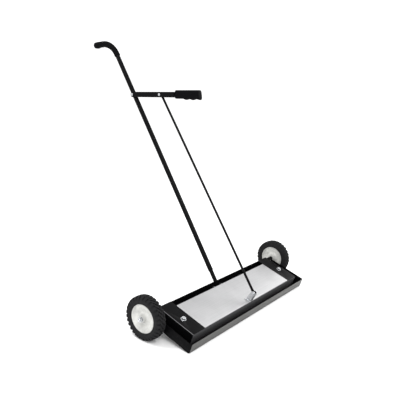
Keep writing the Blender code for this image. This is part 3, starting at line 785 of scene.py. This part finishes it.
def along_handle(distance):
    """The handle's centre line: the straight, the bend over the top, and the short tip."""
    straight = min(distance, HANDLE_STRAIGHT)
    angle = HANDLE_ANGLE
    y = handle_start.y + math.cos(angle) * straight
    z = handle_start.z + math.sin(angle) * straight
    if distance > HANDLE_STRAIGHT:
        angle -= min((distance - HANDLE_STRAIGHT) / BEND_RADIUS, BEND_TURN)
        y += BEND_RADIUS * (math.sin(HANDLE_ANGLE) - math.sin(angle))
        z += BEND_RADIUS * (math.cos(angle) - math.cos(HANDLE_ANGLE))
        rest = max(distance - bend_end, 0.0)
        y += rest * math.cos(angle)
        z += rest * math.sin(angle)
    return (y, z), angle


def spaced(start, end, count):
    """Evenly spaced numbers, with both ends."""
    return [start + (end - start) * i / (count - 1) for i in range(count)]


def ring_round(distance, shape, sides=44):
    """A ring round the handle's line; shape gives the radius at each turn."""
    (y, z), angle = along_handle(distance)
    ring = []
    for i in range(sides):
        turn = 2 * math.pi * i / sides
        radius = shape(turn)
        up = radius * math.sin(turn)
        ring.append((radius * math.cos(turn), y - math.sin(angle) * up, z + math.cos(angle) * up))
    return ring


def tube_mesh():
    """The bent tube, with its screw hole and the lever pivot's hole drilled."""
    tip = bend_end + HANDLE_TIP - TUBE_SHORT
    stops = [HANDLE_FOOT, HANDLE_FOOT + 0.0006] + spaced(0.1, HANDLE_STRAIGHT, 6)
    stops += spaced(HANDLE_STRAIGHT, bend_end, 20)[1:] + [tip]
    outer, inner = [], []
    for distance in stops:
        ease = 0.0005 if distance == HANDLE_FOOT else 0.0
        outer.append(ring_round(distance, lambda turn: TUBE_RADIUS - ease))
        inner.append(ring_round(distance, lambda turn: TUBE_RADIUS - TUBE_WALL))
    bm = bmesh.new()
    loft(bm, outer + inner[::-1], True)
    screw = (TUBE_RADIUS, *along_handle(0.0)[0])
    through = (0.0, *along_handle(pivot_along)[0])
    return worked(
        to_mesh(bm, "tube"),
        [holes([screw], HANDLE_HOLE, 0.004, "X"), holes([through], PIN_HOLE, 0.02, "X")],
    )


piece("bent_tube", tube_mesh(), ["handle_tube"], Matrix.Identity(4))

GRIP_FROM = 1.284
GRIP_LONG = bend_end + HANDLE_TIP + 0.0003 - GRIP_FROM
GRIP_CAP_FROM = GRIP_LONG - 0.008
GRIP_CAP = 0.0105
GRIP_RADIUS = 0.0157
GRIP_SWELL = 0.0014
GRIP_RIB = 0.00018
GRIP_RIB_PITCH = 0.0042
BULB = 0.0024
BULB_AT = GRIP_LONG - 0.026
HOLLOW_DEPTH = 0.0024
HOLLOWS = (GRIP_LONG - 0.049, GRIP_LONG - 0.078)


def bell(value, middle, width):
    """A smooth hump of height one."""
    return math.exp(-(((value - middle) / width) ** 2))


def grip_radius(along, turn):
    """The bar grip: it thickens round the bend to a bulb, with finger hollows under its end."""
    rise = min(max((along - 0.030) / 0.085, 0.0), 1.0)
    radius = GRIP_RADIUS + GRIP_SWELL * rise * rise * (3 - 2 * rise)
    radius += 0.0006 * bell(along, 0.003, 0.003)
    under = max(0.0, -math.sin(turn)) ** 1.5
    radius += BULB * (0.35 + 0.65 * under) * bell(along, BULB_AT, 0.012)
    if 0.010 < along < GRIP_LONG - 0.016:
        radius += GRIP_RIB * math.sin(2 * math.pi * along / GRIP_RIB_PITCH)
    for hollow in HOLLOWS:
        radius -= HOLLOW_DEPTH * under * bell(along, hollow, 0.0052)
    return radius


def bar_grip_mesh():
    """The bar grip, from the lining over the tube's end to the skin and its closed end."""
    inner = [
        ring_round(GRIP_FROM + along, lambda turn: TUBE_RADIUS + 0.0004)
        for along in reversed(spaced(0.0, GRIP_LONG - TUBE_SHORT, 40))
    ]
    outer = [
        ring_round(GRIP_FROM + along, lambda turn, along=along: grip_radius(along, turn))
        for along in spaced(0.0, GRIP_CAP_FROM, 170)
    ]
    # The closed end is a quarter ellipse, from the last ring to a small flat
    end = []
    for i in range(1, 9):
        t = math.pi / 2 * i / 8.5
        along = GRIP_CAP_FROM + GRIP_CAP * math.sin(t)
        end.append(
            ring_round(
                GRIP_FROM + along,
                lambda turn, t=t: grip_radius(GRIP_CAP_FROM, turn) * math.cos(t),
            )
        )
    bm = bmesh.new()
    loft(bm, inner + outer + end)
    return to_mesh(bm, "bar_grip", 40)


piece("bar_grip", bar_grip_mesh(), ["handle_grip"], Matrix.Identity(4))

STUB_RADIUS = 0.0107
STUB_WALL = 0.0020
STUB_TOP = 0.060
STUB_FOOT = -0.110
STUB_EASE = 0.0006
BRACKET_TOP = 0.0043
BRACKET_SHEET = 0.003
WELD = 0.0026
WELD_RIPPLE = 0.0003


def bracket_mesh():
    """A back plate with a stub tube welded to it at the handle's angle."""
    low, high = tray_box("handle_bracket")
    face, back = low.y, low.y + BRACKET_SHEET
    start = to_tray @ handle_start
    way = Vector((0.0, math.cos(HANDLE_ANGLE - TILT), math.sin(HANDLE_ANGLE - TILT)))
    across = Vector((0.0, -way.z, way.y))
    circle = [2 * math.pi * i / 40 for i in range(40)]

    def ring(distance, radius):
        centre = start + way * distance
        return [
            centre + Vector((radius * math.cos(turn), 0.0, 0.0)) + across * radius * math.sin(turn)
            for turn in circle
        ]

    outer, inner = STUB_RADIUS, STUB_RADIUS - STUB_WALL
    stub = bmesh.new()
    rings = [ring(STUB_FOOT, outer), ring(STUB_TOP - STUB_EASE, outer)]
    rings += [ring(STUB_TOP, outer - STUB_EASE), ring(STUB_TOP, inner), ring(STUB_FOOT, inner)]
    loft(stub, rings, True)
    trim = bmesh.new()
    block(trim, (-0.05, face - 0.1, -0.15), (0.05, face + 0.001, 0.05))
    plate = bmesh.new()
    corners = [(low.x, low.z), (high.x, low.z), (high.x, BRACKET_TOP), (low.x, BRACKET_TOP)]
    loft(plate, [[(x, y, z) for x, z in rounded(corners, 0.006)] for y in (face, back)])

    # The weld bead follows the oval where the stub meets the plate, with small ripples
    reach = (back - start.y) / way.y
    middle = start + way * reach
    bead = bmesh.new()
    rings = []
    for i in range(72):
        turn = 2 * math.pi * i / 72
        size = WELD + WELD_RIPPLE * math.cos(24 * turn)
        spot = middle + Vector((outer * math.cos(turn), 0.0, outer * math.sin(turn) / way.y))
        outwards = Vector((math.cos(turn), 0.0, math.sin(turn) * way.y)).normalized()
        rings.append(
            [
                spot + outwards * size * math.cos(t) + Vector((0.0, size * math.sin(t), 0.0))
                for t in (2 * math.pi * j / 10 for j in range(10))
            ]
        )
    loft(bead, rings, True)
    return worked(
        to_mesh(stub, "bracket"),
        [
            combined("DIFFERENCE", trim, "trim"),
            combined("UNION", plate, "plate"),
            combined("UNION", bead, "bead"),
            holes([tuple(start)], HANDLE_HOLE, 0.03, "X"),
            holes([(spot.x, face, spot.z) for spot in bracket_bolts], BRACKET_HOLE, 0.006, "Y"),
        ],
    )


piece("stub_bracket", bracket_mesh(), ["handle_bracket"])


# ---------------------------------------------------------------- lever
def line_frame(start, end):
    """A frame at start whose -y runs towards end, both in the plane x = 0."""
    y = (start - end).normalized()
    z = Vector((1.0, 0.0, 0.0)).cross(y)
    where = Matrix((Vector((1.0, 0.0, 0.0)), y, z)).transposed().to_4x4()
    where.translation = start
    return where


rod_top = middle_of("rod_bolt")
rod_top.x = 0.0
lever = line_frame(pivot, rod_top)
lever_arm = (rod_top - pivot).length
CHANNEL_HALF = 0.0155
CHANNEL_HIGH = 0.01425
CHANNEL_END = -0.297
PIVOT_CUT = 0.032


def channel_mesh():
    """A folded channel, open below: web cut back at the pivot and walls with round noses."""
    half, high, wall, bend = CHANNEL_HALF, CHANNEL_HIGH, 0.002, 0.0030
    section = [(-half, -high), (-half, high - bend)]
    arc = [math.pi / 2 * i / 5 for i in range(1, 5)]
    section += [(-half + bend * (1 - math.cos(t)), high - bend * (1 - math.sin(t))) for t in arc]
    section += [(-half + bend, high), (half - bend, high)]
    section += [(half - bend * (1 - math.sin(t)), high - bend * (1 - math.cos(t))) for t in arc]
    section += [(half, high - bend), (half, -high), (half - wall, -high)]
    section += [(half - wall, high - bend), (half - bend, high - wall)]
    section += [(-half + bend, high - wall), (-half + wall, high - bend), (-half + wall, -high)]
    bm = bmesh.new()
    loft(bm, [[(x, y, z) for x, z in section] for y in (CHANNEL_END, high + 0.0005)])
    turns = [math.pi * i / 16 for i in range(17)]
    nose = [(high * math.sin(turn), high * math.cos(turn)) for turn in turns]
    side = bmesh.new()
    prism(side, nose + [(-0.3, -high), (-0.3, high)], -0.02, 0.02)
    slot = bmesh.new()
    slot_half = half - wall - 0.0004
    block(slot, (-slot_half, -PIVOT_CUT, -0.02), (slot_half, 0.02, 0.02))
    return worked(
        to_mesh(bm, "channel"),
        [
            combined("INTERSECT", side, "side"),
            combined("DIFFERENCE", slot, "slot"),
            holes([(0.0, 0.0, 0.0)], LEVER_PIVOT_HOLE, 0.03, "X"),
            holes([(0.0, -lever_arm, 0.0)], LEVER_ROD_HOLE, 0.03, "X"),
            edges(0.0003, 1, 60),
        ],
        25,
    )


piece("folded_channel", channel_mesh(), ["lever_channel"], lever)

LEVER_GRIP = (0.3035, 0.458)
LEVER_GRIP_HALF = (0.0158, 0.0218)
LEVER_RIB = 0.0002
LEVER_RIB_PITCH = 0.0045
LEVER_CORE = -0.0010
LEVER_RAISED = 0.0013
LEVER_BORE = 0.0118
LEVER_BORE_END = 0.4515
FINGER_BUMP = 0.0040
FINGER_BUMPS = (0.368, 0.412, 0.456)


def lever_ring(along, shape, slant=0.0, sides=56):
    """A ring round the lever; slant pushes its underside outwards."""
    ring = []
    for i in range(sides):
        x, z = shape(2 * math.pi * i / sides)
        ring.append((x, -along + slant * z, z))
    return ring


def squarish(half_width, half_height, turn, power=0.72):
    """A point on a superellipse; a lower power gives squarer corners."""
    cos, sin = math.cos(turn), math.sin(turn)
    x = half_width * math.copysign(abs(cos) ** power, cos)
    z = half_height * math.copysign(abs(sin) ** power, sin)
    return x, z


def lever_grip_shape(along, turn):
    """The lever grip: a square-shouldered bar with fine ribs and finger bumps below."""
    t = (along - LEVER_GRIP[0]) / (LEVER_GRIP[1] - LEVER_GRIP[0])
    width, height = LEVER_GRIP_HALF
    width += 0.0008 * bell(along, LEVER_GRIP[0] + 0.003, 0.003)
    if 0.06 < t < 0.95:
        width += LEVER_RIB * math.sin(2 * math.pi * along / LEVER_RIB_PITCH)
    x, z = squarish(width, height, turn, 0.5)
    if z < 0:
        below = (abs(z) / height) ** 3
        z -= below * 0.0020 * min(max((t - 0.3) / 0.2, 0.0), 1.0)
        for bump_at in FINGER_BUMPS:
            z -= below * FINGER_BUMP * bell(along, bump_at, 0.0095)
    return x, z + LEVER_RAISED


def lever_grip_mesh():
    """The lever grip: a round bore for the stub, a rolled start, the skin and a slanted end."""
    start, end = LEVER_GRIP
    last = end - 0.006

    def slant_at(along):
        return 0.20 * max(0.0, (along - end + 0.04) / 0.04) ** 2

    def core(turn):
        return LEVER_BORE * math.cos(turn), LEVER_CORE + LEVER_BORE * math.sin(turn)

    def shrunk(along, shrink):
        return lambda turn: tuple(v * shrink for v in lever_grip_shape(along, turn))

    bore = [lever_ring(along, core) for along in (LEVER_BORE_END, start + 0.0004)]
    skin = []
    for i in range(4):
        t = math.pi / 2 * i / 4
        shape = shrunk(start, 1 - 0.09 * (1 - math.sin(t)))
        skin.append(lever_ring(start + 0.0022 * (1 - math.cos(t)), shape))
    for along in spaced(start + 0.0026, last, 130):
        skin.append(lever_ring(along, shrunk(along, 1.0), slant_at(along)))
    for i in range(1, 6):
        t = math.pi / 2 * i / 5
        shape = shrunk(last, 1 - 0.17 * (1 - math.cos(t)))
        skin.append(lever_ring(last + 0.0040 * math.sin(t), shape, slant_at(last)))
    bm = bmesh.new()
    loft(bm, bore + skin)
    return to_mesh(bm, "lever_grip", 40)


piece("finger_grip", lever_grip_mesh(), ["lever_grip"], lever)

# ---------------------------------------------------------------- rod and clevis
pin = middle_of("clevis_pin")
pin.x = 0.0
rod = line_frame(rod_top, pin)
rod_length = (rod_top - pin).length
ROD_RADIUS = 0.0062
ROD_FLAT_WIDE = 0.0074
ROD_FLAT_THICK = 0.0050
EYE_LOW = 0.0080
EYE_TOP = 0.0092
EYE_HALF = 0.0062
EYE_EASE = 0.0006


def rod_mesh():
    """A round rod whose ends are pressed flat into eyes."""
    bm = bmesh.new()
    rings = []
    stops = [0.004, 0.012, 0.018, 0.030, 0.045, rod_length / 2]
    stops += [rod_length - stop for stop in reversed(stops[:-1])]
    for along in stops:
        near_end = min(along, rod_length - along)
        t = min(1.0, max(0.0, (near_end - 0.010) / 0.022))
        t = t * t * (3 - 2 * t)
        wide = ROD_FLAT_WIDE + (ROD_RADIUS - ROD_FLAT_WIDE) * t
        thick = ROD_FLAT_THICK + (ROD_RADIUS - ROD_FLAT_THICK) * t
        ring = []
        for i in range(28):
            turn = 2 * math.pi * i / 28
            ring.append((thick * math.cos(turn), -along, wide * math.sin(turn)))
        rings.append(ring)
    loft(bm, rings)
    eyes = bmesh.new()
    for along, radius in ((rod_length, EYE_LOW), (0.0, EYE_TOP)):
        half = [(radius, EYE_HALF - EYE_EASE), (radius - EYE_EASE, EYE_HALF)]
        profile = [(r, -x) for r, x in reversed(half)] + half
        turns = [2 * math.pi * i / 40 for i in range(40)]
        rings = [
            [(x, -along + r * math.cos(turn), r * math.sin(turn)) for turn in turns]
            for r, x in profile
        ]
        loft(eyes, rings)
    return worked(
        to_mesh(bm, "rod"),
        [
            combined("UNION", eyes, "eyes"),
            holes([(0.0, -rod_length, 0.0)], PIN_HOLE, 0.02, "X"),
            holes([(0.0, 0.0, 0.0)], ROD_EYE_HOLE, 0.02, "X"),
        ],
    )


piece("eyed_rod", rod_mesh(), ["pull_rod"], rod)

CLEVIS_DEEP = 0.029
CLEVIS_SHEET = 0.003
EAR_RADIUS = 0.012
EAR_FOOT = 0.026
EAR_INNER = 0.0075
EAR_OUTER = 0.0110
clevis_screws = [tray_middle("clevis_screw_" + word) for word in SIDES]


def clevis_mesh():
    """A base plate with two ears that lean forward and end in a round top."""
    low, high = tray_box("clevis_bracket")
    front = high.y - CLEVIS_DEEP
    centre = to_tray @ pin
    base = bmesh.new()
    corners = [(low.x, front), (high.x, front), (high.x, high.y), (low.x, high.y)]
    outline = rounded(corners, 0.004)
    loft(base, [[(x, y, z) for x, y in outline] for z in (low.z, low.z + CLEVIS_SHEET)])
    ear = [(front, low.z + 0.001), (front + EAR_FOOT, low.z + 0.001)]
    for i in range(17):
        turn = math.pi * i / 16
        ear.append((centre.y + EAR_RADIUS * math.cos(turn), centre.z + EAR_RADIUS * math.sin(turn)))
    ears = bmesh.new()
    for left, right in ((-EAR_OUTER, -EAR_INNER), (EAR_INNER, EAR_OUTER)):
        prism(ears, ear, left, right)
    return worked(
        to_mesh(base, "clevis"),
        [
            combined("UNION", ears, "ears"),
            holes([tuple(centre)], PIN_HOLE, 0.03, "X"),
            holes([(spot.x, spot.y, low.z) for spot in clevis_screws], SCREW_HOLE, 0.008, "Z"),
            edges(0.0005, 2, 60),
        ],
    )


piece("eared_clevis", clevis_mesh(), ["clevis_bracket"])

# ---------------------------------------------------------------- carriage
PLATE_SHEET = 0.0016
PLATE_FOLD = 0.0024
plate_low, plate_high = tray_box("top_plate")
screw_spots = [(spot.x, spot.y, plate_high.z) for spot in clevis_screws]
screw_holes = holes(screw_spots, SCREW_HOLE, 0.008, "Z")
plate = open_box(plate_low, plate_high, -1, PLATE_SHEET, PLATE_FOLD, SHEET_RIM, [screw_holes])
piece("folded_plate", plate, ["top_plate"])


def eased_block(node, width, cuts=()):
    """A CAD block with its edges rounded by this width."""
    low, high = tray_box(node)
    bm = bmesh.new()
    block(bm, low, high)
    return worked(to_mesh(bm, node), [*cuts, edges(width, 3)])


guides = [tray_middle("guide_bolt_" + word) for word in SIDES]
bar_foot = tray_box("backing_bar")[0].z
guide_holes = holes([(spot.x, spot.y, bar_foot) for spot in guides], GUIDE_HOLE, 0.03, "Z")
piece("eased_backing_bar", eased_block("backing_bar", 0.0008, [guide_holes]), ["backing_bar"])
for number in range(1, 5):
    node = "magnet_%d" % number
    piece("eased_" + node, eased_block(node, 0.0010), [node])

# ---------------------------------------------------------------- stage, light, camera
floor_mesh = bmesh.new()
bmesh.ops.create_circle(floor_mesh, cap_ends=True, radius=60.0, segments=96)
floor = bpy.data.objects.new("floor", to_mesh(floor_mesh, "floor"))
bpy.context.scene.collection.objects.link(floor)
floor_material, _, floor_shader = new_material("floor")
floor_shader.inputs["Base Color"].default_value = (0.95, 0.95, 0.95, 1.0)
floor_shader.inputs["Roughness"].default_value = 0.9
floor_shader.inputs["Specular IOR Level"].default_value = 0.1
floor.data.materials.append(floor_material)

world = bpy.data.worlds.new("studio")
bpy.context.scene.world = world
world.use_nodes = True
world.node_tree.nodes["Background"].inputs["Color"].default_value = (1.0, 1.0, 1.0, 1.0)
world.node_tree.nodes["Background"].inputs["Strength"].default_value = 1.23


def softbox(name, where, aim, size, power):
    """A rectangular lamp, turned to its aim and hidden from the camera."""
    light = bpy.data.lights.new(name, "AREA")
    light.shape = "RECTANGLE"
    light.size, light.size_y = size
    light.energy = power
    lamp = bpy.data.objects.new(name, light)
    lamp.location = where
    lamp.rotation_euler = (Vector(aim) - Vector(where)).to_track_quat("-Z", "Y").to_euler()
    lamp.visible_camera = False
    bpy.context.scene.collection.objects.link(lamp)


softbox("key", (-2.2, -2.6, 3.2), (0.0, -0.3, 0.3), (2.0, 1.6), 69.0)
softbox("fill", (2.8, -1.8, 2.2), (0.0, -0.3, 0.3), (2.0, 2.0), 29.0)
softbox("rim", (-1.56, 0.55, 2.6), (-0.4, -0.5, 0.1), (0.5, 0.5), 21.0)
softbox("streak", (3.0, -1.0, 2.0), (0.0, 0.0, 0.8), (0.12, 1.6), 16.0)

CAMERA_AT = Vector((-2.0234, axle.y - 1.3086, 1.1460))
CAMERA_LOOK = Vector((0.7808, 0.5727, -0.2497)).normalized()
CAMERA_UP = Vector((0.1461, 0.2213, 0.9642))
camera_right = CAMERA_LOOK.cross(CAMERA_UP).normalized()
camera_up = camera_right.cross(CAMERA_LOOK)
camera_data = bpy.data.cameras.new("camera")
camera_data.sensor_width = 36.0
camera_data.lens = 45.23
camera = bpy.data.objects.new("camera", camera_data)
bpy.context.scene.collection.objects.link(camera)
facing = Matrix((camera_right, camera_up, -CAMERA_LOOK)).transposed().to_4x4()
camera.matrix_world = Matrix.Translation(CAMERA_AT) @ facing
bpy.context.scene.camera = camera
bpy.context.scene.view_settings.view_transform = "Standard"
